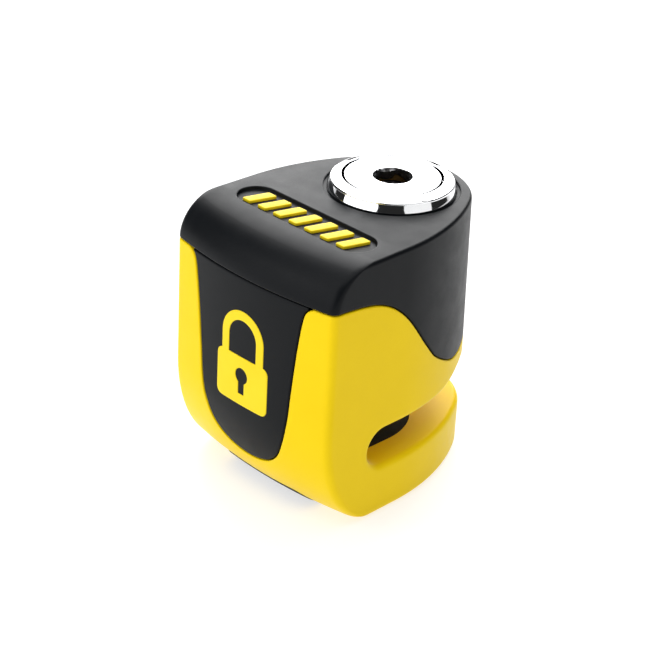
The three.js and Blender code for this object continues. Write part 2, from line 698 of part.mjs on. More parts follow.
function tube(curve, radius, steps, sides) {
  const section = new THREE.Shape(arcPoints(0, 0, radius, 0, 2 * PI, sides).slice(0, -1));
  return solid(new THREE.ExtrudeGeometry(section, { steps, extrudePath: curve, bevelEnabled: false }));
}

function pinGuide() {
  const bush = turned(
    [
      [PIN_R + 0.15, SLOT_HIGH + 0.1],
      [4.9, SLOT_HIGH + 0.1],
      [4.9, BORE_FLOOR + 0.1],
      [5.9, BORE_FLOOR + 0.1],
      [5.9, BORE_FLOOR + 0.9],
      [PIN_R + 0.15, BORE_FLOOR + 0.9],
    ],
    0,
    AXIS_Y,
    32,
  );
  add("pin_bushing", bush, "brass");
  add("return_spring", coil(BORE_FLOOR + 0.05, BARREL_LOW - 0.1, 7.4, 0.5, 3, 16), "steel");
  const { r, z, tip, head } = STOP_SCREW;
  let screw = barAlongX(r, tip, head, AXIS_Y, z, 16);
  screw = screw.subtract(barAlongX(0.7, head - 1.5, head + 1, AXIS_Y, z, 6));
  add("stop_screw", screw, "darkSteel");
}

function slotPad() {
  const body = prism(padShape(0), PAD.low, PAD.high, 12).subtract(bar(PIN_R + 0.6, 0, 20, 0, AXIS_Y));
  add("slot_pad", body, "rubber");
}

function hatch() {
  let body = hatchPrism(0, -1, 9).intersect(outer).subtract(form(HATCH_SKIN));
  for (const y of [-17.8, -15.6, -13.4]) body = body.subtract(box(-6, 6, y - 0.5, y + 0.5, -1, 6));
  for (const { x, y } of HATCH_SCREWS) {
    body = body.subtract(bar(1.2, -1, 5, x, y, 16));
    body = body.subtract(bar(2.1, -1, 1, x, y, 16));
  }
  add("bottom_hatch", body, "black");
  HATCH_SCREWS.forEach(({ x, y }, i) => {
    let screw = bar(1.9, 0.1, 0.9, x, y, 16).add(bar(1, 0.5, 6.4, x, y, 12));
    screw = screw.subtract(bar(0.75, -1, 0.6, x, y, 6));
    add(`hatch_screw_${i + 1}`, screw, "darkSteel");
  });
}

// Four button cells in series, with links above and below them.
function battery() {
  let n = 0;
  for (const y of CELL.ys)
    for (const x of CELL.xs) {
      const { r, low, thick } = CELL;
      const cell = turned(
        [
          [0, low],
          [r - 1, low],
          [r - 1, low + 0.5],
          [r - 0.1, low + 0.5],
          [r - 0.1, low + thick],
          [0, low + thick],
        ],
        x,
        y,
        FINE,
      );
      add(`button_cell_${++n}`, cell, "steel");
    }
  const upper = CELL.low + CELL.thick + 0.1;
  const [left, right] = CELL.xs;
  const [front, back] = CELL.ys;
  add("contact_positive", box(left - 3, left + 3, front - 3, front + 3, upper, upper + 0.3), "brass");
  add("contact_negative", box(right - 3, right + 3, front - 3, front + 3, upper, upper + 0.3), "brass");
  add("cell_link_top", box(left - 3, right + 3, back - 2, back + 2, upper, upper + 0.3), "brass");
  const under = HATCH_SKIN + 0.1;
  CELL.xs.forEach((x, i) => {
    add(`cell_link_${i + 1}`, box(x - 2, x + 2, front + 1, back + 3, under, under + 0.4), "brass");
  });
}

// The alarm behind the front panel: a board on a carrier, with its siren, chip and two sensors.
function alarm() {
  const back = POCKET.back;
  const frame = box(-11.6, 11.6, back - 1.6, back - 0.2, 24.3, 43.7).subtract(
    box(-9, 9, back - 3, back + 1, 27, 41),
  );
  add("alarm_carrier", frame, "black");
  add("circuit_board", box(-11, 11, back - 3.2, back - 1.8, 24.6, 43.4), "board");
  const face = back - 3.4;
  const siren = barAlongY(8.6, face - 6.6, face, 1.6, 33.9, 32)
    .subtract(barAlongY(7.6, face - 8, face - 6, 1.6, 33.9, 32))
    .subtract(barAlongY(1.6, face - 8, face - 3, 1.6, 33.9, 16));
  add("siren", siren, "black");
  add("alarm_chip", box(-10.6, -7.4, face - 1.6, face, 30, 36), "black");
  add("shock_sensor", barAlongY(1.4, face - 3.4, face, -9, 38.6, 16), "steel");
  add("reed_switch", barAlongX(0.8, -10.4, -4.6, face - 0.9, 42.4, 12), "brass");
  const top = CELL.low + CELL.thick + 0.6;
  [-1, 1].forEach((side, i) => {
    const x = side * 6;
    const route = [
      [x, -13, top + 0.5],
      [x, -16.5, top + 0.7],
      [x, -19.6, top + 2.4],
      [x, -20.6, 14],
      [x, -20.4, 20],
      [x * 1.2, -18.4, 24.6],
      [x * 1.45, -13, 25.9],
      [x * 1.5, -9.4, 26],
    ].map((p) => new THREE.Vector3(...p));
    add(`battery_wire_${i + 1}`, tube(new THREE.CatmullRomCurve3(route), 0.5, 16, 6), i ? "rubber" : "red");
  });
  add("arming_magnet", barAlongY(1.15, AXIS_Y - 9.9, AXIS_Y - 7.9, 0, 36, 12), "steel");
  [-1, 1].forEach((side, i) => {
    const x = side * HOOD_TAB.x;
    let screw = barAlongY(1.9, -27.3, -26.4, x, HOOD_SCREW_Z, 16);
    screw = screw.add(barAlongY(0.85, -26.6, -19, x, HOOD_SCREW_Z, 12));
    add(`hood_screw_${i + 1}`, screw, "darkSteel");
  });
}

housing();
hood();
badge();
frontPanel();
frontSign();
bezel();
barrel();
plug();
sidebar();
detainerDiscs();
pinCarrier();
lockingPin();
latch();
pinGuide();
slotPad();
hatch();
battery();
alarm();

export default lock;
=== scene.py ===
"""A disc brake lock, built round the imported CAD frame. Shapes are in millimetres, the scene is in metres."""

import json
import math

import bmesh
import bpy
import numpy as np
from mathutils import Matrix, Vector
from mathutils.geometry import tessellate_polygon

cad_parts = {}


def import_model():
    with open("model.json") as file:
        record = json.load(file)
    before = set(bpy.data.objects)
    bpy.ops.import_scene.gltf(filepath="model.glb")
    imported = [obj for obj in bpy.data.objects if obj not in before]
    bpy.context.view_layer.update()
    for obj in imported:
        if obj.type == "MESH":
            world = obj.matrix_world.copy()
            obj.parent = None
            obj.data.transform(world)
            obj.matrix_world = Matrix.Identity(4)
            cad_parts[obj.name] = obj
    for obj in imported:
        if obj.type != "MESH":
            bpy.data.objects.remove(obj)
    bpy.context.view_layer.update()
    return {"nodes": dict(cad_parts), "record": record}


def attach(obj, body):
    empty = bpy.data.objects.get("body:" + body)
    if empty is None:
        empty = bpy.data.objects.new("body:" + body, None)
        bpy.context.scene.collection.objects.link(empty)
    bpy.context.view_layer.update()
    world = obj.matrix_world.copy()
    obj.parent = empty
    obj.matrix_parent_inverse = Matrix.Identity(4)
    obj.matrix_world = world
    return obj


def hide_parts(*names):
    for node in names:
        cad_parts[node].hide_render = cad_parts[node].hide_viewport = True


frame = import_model()
NODES = frame["nodes"]
MM = 0.001
QUARTER = math.pi / 2

# ---- Dimensions shared with the CAD part ----
FRONT_Y, HALF_WIDTH, FRONT_SAG = -29.0, 22.5, 2.4
TOP = 59.4
AXIS_Y = 11.8  # the barrel's axis
NOSE_R, NOSE_CY = 17.5, 11.5
SIDE_R, SIDE_X = 50.0, 22.65
TAPER = math.radians(1)
LEAN, LEAN_FROM = 1.1, 24.0  # the back leans forward, from a height up to the top
CORNER_R = 1.8
TOP_ROLL = (8.5, 10.0)  # height, depth
BOTTOM_ROLL = (23.3, 14.3)
TOP_EDGE_R, BOTTOM_EDGE_R = 0.8, 1.2
SLOT_LOW, SLOT_HIGH, SLOT_ROOT = 11.4, 19.95, -14.2
LIP, BACK_LIP = 1.3, 3.4
BEZEL_R, BEZEL_TOP = 13.5, 62.0
RIM_R, RIM_Z = 12.8, 61.4  # where the ring's face turns over into its shoulder
SEAT_R = 14.25
BORE_R = 10.3
BARREL_R, BARREL_TOP = 10.0, 61.9
KEYHOLE_R = 4.15
PIN_R, PIN_TIP = 3.0, 7.35
PIN_HOLE = {"r": 3.4, "floor": 6.65}  # in the lower jaw
PIN_BUSHING_R, PIN_BUSHING_TOP = 5.0, 24.0
PAD = {"r": 15.9, "front": -9.2, "centre": -1.5, "low": 10.1, "high": 11.2, "hole": 3.6, "edge": 0.15}
PAD_RECESS_LOW, PAD_RECESS_GAP = 10.0, 0.12

FRONT_R = (HALF_WIDTH**2 / FRONT_SAG + FRONT_SAG) / 2
SIDE_CX = SIDE_X - SIDE_R
SIDE_CY = NOSE_CY - math.sqrt((SIDE_R - NOSE_R) ** 2 - SIDE_CX**2)
NOSE_START = math.atan2(NOSE_CY - SIDE_CY, -SIDE_CX)
TANGENT_Y = SIDE_CY + SIDE_R * math.sin(TAPER)
TANGENT_X = SIDE_CX + SIDE_R * math.cos(TAPER)
NOSE_Y = NOSE_CY + NOSE_R * math.sin(NOSE_START)

SLOT_R = (SLOT_HIGH - SLOT_LOW) / 2
SLOT_Y = SLOT_ROOT + SLOT_R  # centre of the slot's round root
SLOT_Z = SLOT_LOW + SLOT_R

BODY_LOW = 0.25  # the housing's underside; the hatch stands this much proud of it
SEAM = 0.1  # half of the parting gap
EDGE = 0.38  # rounding of the edges along the parting lines
NO_EDGE = 90.0  # a height above everything, where a part has no edge

# The hood's lower edge as (y, z), and one half of the front panel's outline as (x, z).
HOOD_EDGE = [(-32, 50.8), (-22.7, 50.8), (-13.1, 49.1), (-5.9, 44.3), (1.5, 35.1)]
HOOD_EDGE += [(6.4, 30), (15, 25.8), (24.1, 27.3), (31, 35)]
PANEL_EDGE = [(18.4, 51), (16.6, 50), (15.6, 47.8), (14.5, 41), (13.4, 31)]
PANEL_EDGE += [(12.7, 24), (11.5, 18.7), (9.3, 14), (5.5, 10.9), (0, 9.7)]
PANEL_TOP_X = 18.3  # past it there is no panel
PANEL_REACH_Y = -20.0  # behind it there is no panel


# ---- Curves ----
def spline(points, steps=900):
    """Points of a Catmull-Rom curve through the given ones."""
    pts = np.array(points, float)
    n = len(pts)
    t = np.linspace(0, n - 1, steps)
    i = np.minimum(t.astype(int), n - 2)
    w = (t - i)[:, None]
    p0, p1, p2, p3 = pts[np.maximum(i - 1, 0)], pts[i], pts[i + 1], pts[np.minimum(i + 2, n - 1)]
    v0, v1 = (p2 - p0) / 2, (p3 - p1) / 2
    return (2 * p1 - 2 * p2 + v0 + v1) * w**3 + (-3 * p1 + 3 * p2 - 2 * v0 - v1) * w**2 + v0 * w + p1


HOOD_CURVE = spline(HOOD_EDGE)
_outline = PANEL_EDGE + [(-x, z) for x, z in PANEL_EDGE[-2::-1]]
PANEL_CURVE = spline(_outline, 1800)
PANEL_CURVE = PANEL_CURVE[PANEL_CURVE[:, 0] >= -1e-9][::-1]


def hood_edge(y):
    return float(np.interp(y, HOOD_CURVE[:, 0], HOOD_CURVE[:, 1]))


def panel_edge(x):
    """Height of the front panel's outline at a distance from the middle."""
    x = abs(x)
    return float(np.interp(x, PANEL_CURVE[:, 0], PANEL_CURVE[:, 1])) if x < PANEL_TOP_X else NO_EDGE


def drawn_in(depth, share):
    """How far a round edge has drawn in at a share of its height from its end."""
    return depth * (1 - math.sqrt(max(0.0, 1 - (1 - min(share, 1)) ** 2)))


def rounded(distance, radius):
    """The same for a plain round edge, at a distance from it."""
    return drawn_in(radius, max(distance, 0) / radius)


def smooth(t):
    """A soft step from 0 to 1."""
    t = min(max(t, 0), 1)
    return t * t * (3 - 2 * t)


# ---- The outer form ----
_corners = {}


def lean(z):
    """How far the back has come forward at a height."""
    return LEAN * max(0.0, z - LEAN_FROM) / (TOP - LEAN_FROM)


def front_corner(back, forward):
    """Centre of the front arc, centre of the corner, the angle where they meet, and the corner's end."""
    key = (round(back, 6), round(forward, 6))
    if key not in _corners:
        n = Vector((math.cos(TAPER), math.sin(TAPER)))
        f = Vector((n.y, -n.x))
        arc = Vector((0, FRONT_Y + FRONT_R + back))
        on_side = Vector((SIDE_CX, SIDE_CY - forward)) + n * (SIDE_R - CORNER_R)
        away = on_side - arc
        along = away.dot(f)
        run = -along + math.sqrt(along**2 - away.length_squared + (FRONT_R - CORNER_R) ** 2)
        centre = on_side + f * run
        angle = math.atan2(centre.y - arc.y, centre.x - arc.x)
        _corners[key] = (arc, centre, angle, centre + n * CORNER_R)
    return _corners[key]


def setback(z):
    """How far the front has drawn back at a height, in its round edges at the bottom and at the top."""
    share_low = (z - BODY_LOW) / BOTTOM_ROLL[0]
    share_high = (TOP - z) / TOP_ROLL[0]
    return drawn_in(BOTTOM_ROLL[1], share_low) + drawn_in(TOP_ROLL[1], share_high)


REGION_LOW, REGION_HIGH = 6.5, 23.6  # the patch of side wall round the slot's root
REGION_Y = -18.5
FIXED_Y = 5.0  # from here back, the side columns stand still
CORNER_REF = front_corner(setback(REGION_LOW), 0)[3].y


def side_point(y):
    """x and normal of the side wall at y."""
    if y < TANGENT_Y:
        return TANGENT_X + (TANGENT_Y - y) * math.tan(TAPER), math.cos(TAPER), math.sin(TAPER)
    a = math.asin((y - SIDE_CY) / SIDE_R)
    return SIDE_CX + SIDE_R * math.cos(a), math.cos(a), math.sin(a)


def shifted(y0, corner_y):
    """Where a side column stands once a round front edge has pushed the corner back."""
    if corner_y <= CORNER_REF or y0 >= FIXED_Y:
        return y0
    return corner_y + (y0 - CORNER_REF) / (FIXED_Y - CORNER_REF) * (FIXED_Y - corner_y)


def surface(column, z, inset=0.0, flat=False):
    """A point on the outer form: column is (kind, value, side). flat leaves out the small edge roundings."""
    kind, v, side = column
    forward = lean(z)
    arc, centre, angle, corner_end = front_corner(setback(z), forward)
    if kind == "front":
        x = v * (FRONT_R * math.cos(angle))
        y = arc.y - math.sqrt(FRONT_R**2 - x**2)
        nx, ny = x / FRONT_R, (y - arc.y) / FRONT_R
    elif kind == "corner":
        a = angle + (TAPER - angle) * v
        nx, ny = math.cos(a), math.sin(a)
        x, y = centre.x + CORNER_R * nx, centre.y + CORNER_R * ny
    elif kind == "line":
        y1 = shifted(REGION_Y, corner_end.y)
        x1, nx, ny = side_point(y1)
        x, y = corner_end.x + (x1 - corner_end.x) * v, corner_end.y + (y1 - forward - corner_end.y) * v
    elif kind == "side":
        y = shifted(v, corner_end.y)
        x, nx, ny = side_point(y)
        y -= forward
    else:
        a = NOSE_START + (QUARTER - NOSE_START) * v
        nx, ny = math.cos(a), math.sin(a)
        x, y = NOSE_R * nx, NOSE_CY - forward + NOSE_R * ny
    edge = 0.0
    if not flat:
        edge += drawn_in(BOTTOM_EDGE_R, (z - BODY_LOW) / BOTTOM_EDGE_R)
        edge += drawn_in(TOP_EDGE_R, (TOP - z) / TOP_EDGE_R)
    d = edge + inset
    return (side * (x - nx * d), y - ny * d, z)


def by_length(curve, step):
    """Points of a curve at even distances."""
    s = np.concatenate([[0], np.cumsum(np.linalg.norm(np.diff(curve, axis=0), axis=1))])
    at = np.linspace(0, s[-1], int(s[-1] / step) + 1)
    return np.stack([np.interp(at, s, curve[:, k]) for k in range(2)], 1)


FRONT_END = FRONT_R * math.cos(front_corner(0, 0)[2])
PANEL_STEP = 0.62
# Columns of the front stand closer where the panel's outline is steep, then run on to the corner.
_front_x = [x for x in by_length(PANEL_CURVE, PANEL_STEP)[:, 0] if x < PANEL_TOP_X - 0.1]
_front_x += list(np.linspace(PANEL_TOP_X + 0.1, FRONT_END, 5))
FRONT_COLUMNS = [("front", x / FRONT_END) for x in _front_x]
CORNER_COLUMNS = [("corner", t) for t in np.linspace(0, 1, 10)[1:]]
LINE_COLUMNS = [("line", t) for t in np.linspace(0, 1, 7)[1:-1]]
REGION_COLUMNS = [("side", y) for y in np.linspace(REGION_Y, SLOT_Y, 7)]
SIDE_COLUMNS = [("side", y) for y in np.linspace(SLOT_Y, NOSE_Y, 36)[:-1]]
NOSE_COLUMNS = [("nose", t) for t in np.linspace(0, 1, 26)]


def both_sides(columns):
    """The columns along the right side, then back along the left one. The last column is shared."""
    return [(k, v, 1) for k, v in columns] + [(k, v, -1) for k, v in reversed(columns[:-1])]


FRONT_STRIP_HALF = FRONT_COLUMNS + CORNER_COLUMNS + LINE_COLUMNS + REGION_COLUMNS[:1]
FRONT_STRIP = [(k, v, -1) for k, v in reversed(FRONT_STRIP_HALF)]
FRONT_STRIP += [(k, v, 1) for k, v in FRONT_STRIP_HALF[1:]]
BACK_STRIP = both_sides(SIDE_COLUMNS + NOSE_COLUMNS)
_loop_half = FRONT_COLUMNS + CORNER_COLUMNS + LINE_COLUMNS + REGION_COLUMNS + SIDE_COLUMNS[1:] + NOSE_COLUMNS
LOOP = both_sides(_loop_half)[:-1]


# ---- Mesh making ----
MERGE = 0.004  # points closer than this become one


class Build:
    """Collects faces with shared points merged, then makes the object."""

    def __init__(self):
        self.verts = []
        self.faces = []

    def grid(self, rows, close=False, flip=False):
        """Rows of points that match one for one."""
        start = len(self.verts)
        n = len(rows[0])
        for row in rows:
            self.verts.extend(row)
        for r in range(len(rows) - 1):
            for c in range(n if close else n - 1):
                d = (c + 1) % n
                a, b = start + r * n + c, start + r * n + d
                e, f = start + (r + 1) * n + c, start + (r + 1) * n + d
                self.faces.append((a, e, f, b) if flip else (a, b, f, e))

    def fill(self, loops, up=True):
        """A flat face with holes: the first loop is the rim, the others are holes."""
        start = len(self.verts)
        flat = [[Vector((p[0], p[1], 0)) for p in loop] for loop in loops]
        for loop in loops:
            self.verts.extend(loop)
        for tri in tessellate_polygon(flat):
            p, q, r = (self.verts[start + i] for i in tri)
            area = (q[0] - p[0]) * (r[1] - p[1]) - (r[0] - p[0]) * (q[1] - p[1])
            tri = tri if (area > 0) == up else tri[::-1]
            self.faces.append(tuple(start + i for i in tri))

    def object(self, name, material, body, replaced, sharp=35):
        """The Blender object, with its body and the CAD nodes it stands in for."""
        mesh = bpy.data.meshes.new(name)
        mesh.from_pydata([tuple(c * MM for c in v) for v in self.verts], [], self.faces)
        bm = bmesh.new()
        bm.from_mesh(mesh)
        bmesh.ops.remove_doubles(bm, verts=bm.verts, dist=MERGE * MM)
        bmesh.ops.dissolve_degenerate(bm, edges=bm.edges, dist=1e-7)
        bm.to_mesh(mesh)
        bm.free()
        mesh.polygons.foreach_set("use_smooth", [True] * len(mesh.polygons))
        mesh.set_sharp_from_angle(angle=math.radians(sharp))
        mesh.materials.append(material)
        obj = bpy.data.objects.new(name, mesh)
        bpy.context.scene.collection.objects.link(obj)
        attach(obj, body)
        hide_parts(*replaced)
        return obj


def circle(r, z, n=96):
    """A circle about the barrel's axis."""
    turns = np.linspace(0, 2 * math.pi, n, endpoint=False)
    return [(r * math.cos(a), AXIS_Y + r * math.sin(a), z) for a in turns]


def arc_profile(cx, cz, r, a0, a1, n):
    """Profile points on an arc, from angle a0 to a1 in degrees."""
    turns = [math.radians(a) for a in np.linspace(a0, a1, n)]
    return [(cx + r * math.cos(a), cz + r * math.sin(a)) for a in turns]


def lathe(profile, name, material, body, replaced, n, closed=True):
    """A turned piece from (radius, height) pairs, anticlockwise in the radius-height plane."""
    b = Build()
    ring = profile + profile[:1] if closed else profile
    b.grid([circle(r, z, n) for r, z in ring], close=True)
    return b.object(name, material, body, replaced)


def round_corners(corners, r, z, n=5):
    """A convex anticlockwise polygon with round corners."""
    out = []
    m = len(corners)
    for i in range(m):
        p, q, t = (Vector(corners[(i + k) % m]) for k in (-1, 0, 1))
        a, c = (p - q).normalized(), (t - q).normalized()
        half = math.acos(max(-1, min(1, a.dot(c)))) / 2
        centre = q + (a + c).normalized() * (r / math.sin(half))
        start, stop = q + a * (r / math.tan(half)) - centre, q + c * (r / math.tan(half)) - centre
        a0, a1 = math.atan2(start.y, start.x), math.atan2(stop.y, stop.x)
        a1 += 2 * math.pi if a1 < a0 else 0
        out += [(centre.x + r * math.cos(w), centre.y + r * math.sin(w), z) for w in np.linspace(a0, a1, n)]
    return out


def cast(outline, cx, cz, n):
    """Where rays from a centre meet a closed outline, at n even turns."""
    pts = np.array([(p[0], p[1]) for p in outline])
    nxt = np.roll(pts, -1, axis=0)
    out = []
    for a in np.linspace(0, 2 * math.pi, n, endpoint=False):
        d = np.array([math.cos(a), math.sin(a)])
        e = nxt - pts
        w = pts - np.array([cx, cz])
        cross = d[0] * e[:, 1] - d[1] * e[:, 0]
        cross = np.where(np.abs(cross) < 1e-12, 1e-12, cross)
        t = (w[:, 0] * e[:, 1] - w[:, 1] * e[:, 0]) / cross
        u = (w[:, 0] * d[1] - w[:, 1] * d[0]) / cross
        good = (t > 0) & (u >= -1e-6) & (u <= 1 + 1e-6)
        reach = t[good].max()
        out.append((cx + reach * d[0], cz + reach * d[1]))
    return out


def unroll(strip, heights):
    """The place of each column in the unrolled wall, and the cosine of the edge's slope there."""
    pts = np.array([surface(c, z)[:2] for c, z in zip(strip, heights)])
    s = np.concatenate([[0], np.cumsum(np.linalg.norm(np.diff(pts, axis=0), axis=1))])
    slope = np.gradient(np.array(heights), np.maximum(s, 1e-9) + np.arange(len(s)) * 1e-9)
    return s, 1 / np.sqrt(1 + slope**2)


def distance_to(s, z, poly_s, poly_z):
    """Distance in the unrolled wall from a point to a line."""
    a = np.stack([poly_s[:-1], poly_z[:-1]], 1)
    d = np.stack([poly_s[1:], poly_z[1:]], 1) - a
    p = np.array([s, z]) - a
    t = np.clip((p * d).sum(1) / np.maximum((d * d).sum(1), 1e-12), 0, 1)
    return float(np.sqrt(((p - d * t[:, None]) ** 2).sum(1)).min())


# Distances from a parting line at which rows of points lie, as shares of EDGE.
EDGE_STEPS = [2.2, 1.5, 1.0, 0.8, 0.6, 0.42, 0.28, 0.16, 0.07, 0.02, 0.0]


def settle(column, height_of):
    """The height at which a column meets an edge whose height depends on where the column stands.

    Each step goes part of the way to the edge's height at the last place, which settles well within 30.
    """
    z = 40.0
    for _ in range(30):
        z += 0.6 * (height_of(surface(column, z, flat=True)) - z)
    return z


def body_top(p):
    """Height of the housing's upper edge: the panel's outline at the front, else the hood's edge."""
    return min(panel_edge(p[0]) if p[1] < PANEL_REACH_Y else NO_EDGE, hood_edge(p[1]))


# ---- The housing ----
# Least cosines of an edge's slope. They keep the rows in reach where the edge runs almost straight up.
STEEP_SEAM, STEEP_EDGE = 0.05, 0.045


def body_heights(strip):
    raw = [settle(c, body_top) for c in strip]
    s, cosine = unroll(strip, raw)
    lowered = [z - SEAM / max(k, STEEP_SEAM) for z, k in zip(raw, cosine)]
    return s, cosine, lowered


_low_steps = (0, 0.02, 0.08, 0.18, 0.32, 0.5, 0.72, 1.0, 1.3, 1.6, 2.0, 2.5, 3.1, 3.8, 4.6, 5.4)
LOW_LEVELS = [BODY_LOW + d for d in _low_steps] + [REGION_LOW]
MID_LEVELS = list(np.linspace(REGION_LOW, REGION_HIGH, 13))[1:]
UP_SHARES = list(np.linspace(0, 1, 13))[1:]
SKIRTS = (0.9, 2.4)  # how far the skirt turns in behind a parting line


def with_edge(columns, s, cosine, tops, levels_of):
    """Rows of points up to an edge, rounded towards it, with a skirt turned in behind it."""
    per_column = []
    for i, column in enumerate(columns):
        rise = EDGE / max(cosine[i], STEEP_EDGE)
        zs = list(levels_of(i, tops[i] - EDGE_STEPS[0] * rise))
        zs += [tops[i] - k * rise for k in EDGE_STEPS[1:]]
        points = []
        for z in zs:
            d = distance_to(s[i], z, s, np.array(tops))
            points.append(surface(column, z, rounded(d, EDGE)))
        for skirt in SKIRTS:
            points.append(surface(column, tops[i], EDGE + skirt))
        per_column.append(points)
    return [list(row) for row in zip(*per_column)]


LIP_ANGLES = [math.radians(a) for a in np.linspace(0, 90, 9)]
LIP_TURN = 6.0  # the length behind the root over which a lip's offset turns
BACK_FROM, BACK_RUN = 8.0, 18.0  # where the upper lip starts to open out, and over what length
BACK_SLOPE = 0.5  # how much of the opened lip is a slope instead of round


def lip_point(column, z, inset):
    """A lip's offset turns from square to the slot at its root to square to the wall further back."""
    kind, v, side = column
    p, q = surface(column, z), surface(column, z, inset)
    share = 1.0 if kind == "nose" else smooth((v - SLOT_Y) / LIP_TURN)
    straight = (p[0] - side * inset, p[1])
    return (q[0] * share + straight[0] * (1 - share), q[1] * share + straight[1] * (1 - share), z)


def lower_lip(a):
    z, inset = SLOT_LOW - LIP * (1 - math.sin(a)), LIP * (1 - math.cos(a))
    return [lip_point(column, z, inset) for column in BACK_STRIP]


def back_share(column):
    """How far round the back a column stands. The upper lip opens out there and turns into a slope."""
    return smooth((surface(column, LEAN_FROM)[1] - BACK_FROM) / BACK_RUN)


def upper_lip_height(column):
    return LIP + (BACK_LIP - LIP) * back_share(column)


def upper_lip(a):
    row = []
    for column in BACK_STRIP:
        r, slope, t = upper_lip_height(column), BACK_SLOPE * back_share(column), a / QUARTER
        rise = (1 - slope) * (1 - math.sin(a)) + slope * (1 - t)
        inset = (1 - slope) * (1 - math.cos(a)) + slope * t
        row.append(lip_point(column, SLOT_HIGH + r * rise, r * inset))
    return row


def front_wall(b):
    """The wall in front of the slot. At its back end its rows meet those of the patch round the root."""
    s, cosine, tops = body_heights(FRONT_STRIP)
    end = tops[-1] - EDGE_STEPS[0] * EDGE / cosine[-1]
    full = LOW_LEVELS + MID_LEVELS + [REGION_HIGH + (end - REGION_HIGH) * t for t in UP_SHARES]

    def levels(_, top):
        scale = (top - BODY_LOW) / (end - BODY_LOW)
        return [BODY_LOW + (z - BODY_LOW) * scale for z in full]

    b.grid(with_edge(FRONT_STRIP, s, cosine, tops, levels))


def back_wall(b):
    """The wall of both jaws. Returns the inner edges of the lower and of the upper lip."""
    levels = LOW_LEVELS + list(np.linspace(REGION_LOW, SLOT_LOW - LIP, 5))[1:]
    lower = [[surface(c, z) for c in BACK_STRIP] for z in levels]
    lower += [lower_lip(a) for a in LIP_ANGLES[1:]]
    b.grid(lower)
    upper = [upper_lip(a) for a in reversed(LIP_ANGLES)]
    b.grid(upper)

    def above_lip(i, top):
        low = SLOT_HIGH + upper_lip_height(BACK_STRIP[i])
        return [low + (top - low) * t for t in np.linspace(0, 1, 15)]

    b.grid(with_edge(BACK_STRIP, *body_heights(BACK_STRIP), above_lip))
    return lower[-1], upper[0]


def jaw_faces(b, floor_edge, ceiling_edge):
    """The flat faces of the jaws, with the pad's recess, the pin's hole and the bushing's hole."""

    def recess(z):
        return [(x, y, z) for x, y in pad_outline(PAD_RECESS_GAP)]

    hole_r, hole_low, low = PIN_HOLE["r"], PIN_HOLE["floor"], PAD_RECESS_LOW
    near_top = SLOT_LOW - 0.12
    b.fill([floor_edge, recess(SLOT_LOW)])
    b.grid([recess(low), recess(near_top)], close=True)
    b.grid([recess(near_top), recess(SLOT_LOW)], close=True)
    b.fill([recess(low), circle(hole_r, low)])
    b.grid([circle(hole_r, low), circle(hole_r, hole_low)], close=True, flip=True)
    b.fill([circle(hole_r, hole_low)])
    b.fill([ceiling_edge, circle(PIN_BUSHING_R, SLOT_HIGH)], up=False)
    b.grid([circle(PIN_BUSHING_R, SLOT_HIGH), circle(PIN_BUSHING_R, PIN_BUSHING_TOP)], close=True)


def root_row(e, side):
    """A line round the slot's root, at an angle round its lip."""
    row = []
    for w in [math.radians(a) for a in np.linspace(270, 90, 25)]:
        rho = SLOT_R + LIP * (1 - math.cos(e))
        y, z = SLOT_Y + rho * math.cos(w), SLOT_Z + rho * math.sin(w)
        row.append((side * (side_point(y)[0] - LIP * (1 - math.sin(e))), y, z))
    return row


def slot_root(b):
    """The round root of the slot, its lips, and the patch of wall round it on each side."""
    b.grid([root_row(e, -1) for e in reversed(LIP_ANGLES)] + [root_row(e, 1) for e in LIP_ANGLES])
    region_y = [v for _, v in REGION_COLUMNS]
    rim = [(y, REGION_LOW) for y in reversed(region_y)]
    rim += [(REGION_Y, z) for z in MID_LEVELS]
    rim += [(y, REGION_HIGH) for y in region_y[1:]]
    for side in (-1, 1):
        inner = root_row(QUARTER, side)
        rows = []
        for t in np.linspace(0, 1, 8):
            row = []
            for (_, yi, zi), (yo, zo) in zip(inner, rim):
                y, z = yi + (yo - yi) * t, zi + (zo - zi) * t
                row.append((side * side_point(y)[0], y, z))
            rows.append(row)
        b.grid(rows, flip=side < 0)
        columns = [(k, v, side) for k, v in REGION_COLUMNS]
        if side < 0:
            columns.reverse()
        b.grid([[surface(c, z) for c in columns] for z in LOW_LEVELS])
        b.grid(with_edge(columns, *body_heights(columns), above_region))


def above_region(_, top):
    return [REGION_HIGH + (top - REGION_HIGH) * t for t in [0] + UP_SHARES]


def housing(material):
    b = Build()
    front_wall(b)
    floor_edge, ceiling_edge = back_wall(b)
    jaw_faces(b, floor_edge, ceiling_edge)
    slot_root(b)
    b.fill([[surface(c, BODY_LOW) for c in LOOP]], up=False)
    return b.object("housing_shell", material, "housing", ["lock_body"], sharp=50)


def pad_outline(margin):
    """The slot pad: straight sides and a round back end."""
    r, front = PAD["r"] + margin, PAD["front"] - margin
    points = [(-r, front), (r, front)]
    turns = np.linspace(0, math.pi, 49)
    return points + [(r * math.cos(a), PAD["centre"] + r * math.sin(a)) for a in turns]


